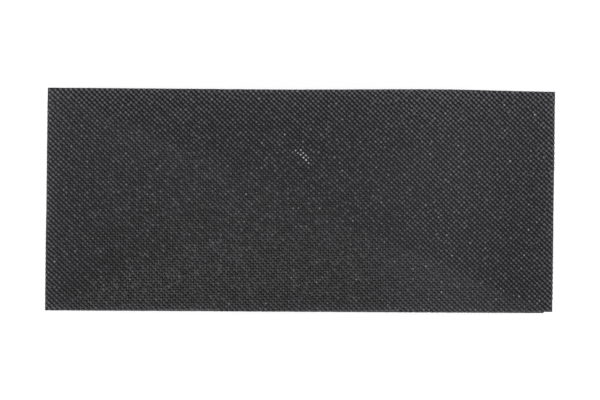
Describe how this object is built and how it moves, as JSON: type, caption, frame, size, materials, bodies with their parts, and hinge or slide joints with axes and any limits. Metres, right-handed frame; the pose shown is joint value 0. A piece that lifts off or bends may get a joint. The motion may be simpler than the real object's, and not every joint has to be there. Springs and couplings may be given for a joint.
{
  "type": "hand sanding block",
  "caption": "Laminated foam hand sanding block with a hook face that abrasive sheets press onto, finger grooves along both long sides and a flat back.",
  "frame": {"origin": "centre of the flat back that the block lies on, straight below the centre of the hook face", "axes": "+X along the block, +Y across it, +Z from the back towards the hook face"},
  "size_m": [0.16, 0.07, 0.0353],
  "materials": {
    "grip_foam": "matte closed-cell EVA foam",
    "pad_foam": "matte soft closed-cell foam",
    "board_plastic": "satin, sawn edges",
    "glue": "set contact glue, satin",
    "hook_adhesive": "clear tacky film",
    "hook_plastic": "satin moulded hooks"
  },
  "bodies": {
    "root": {"grip_back_layer": "grip_foam", "grip_glue_film": "glue", "grip_front_layer": "grip_foam", "board_glue_film": "glue", "stiffener_board": "board_plastic", "pad_glue_film": "glue", "face_pad": "pad_foam", "hook_adhesive_film": "hook_adhesive", "hook_sheet": "hook_plastic"}
  },
  "joints": []
}
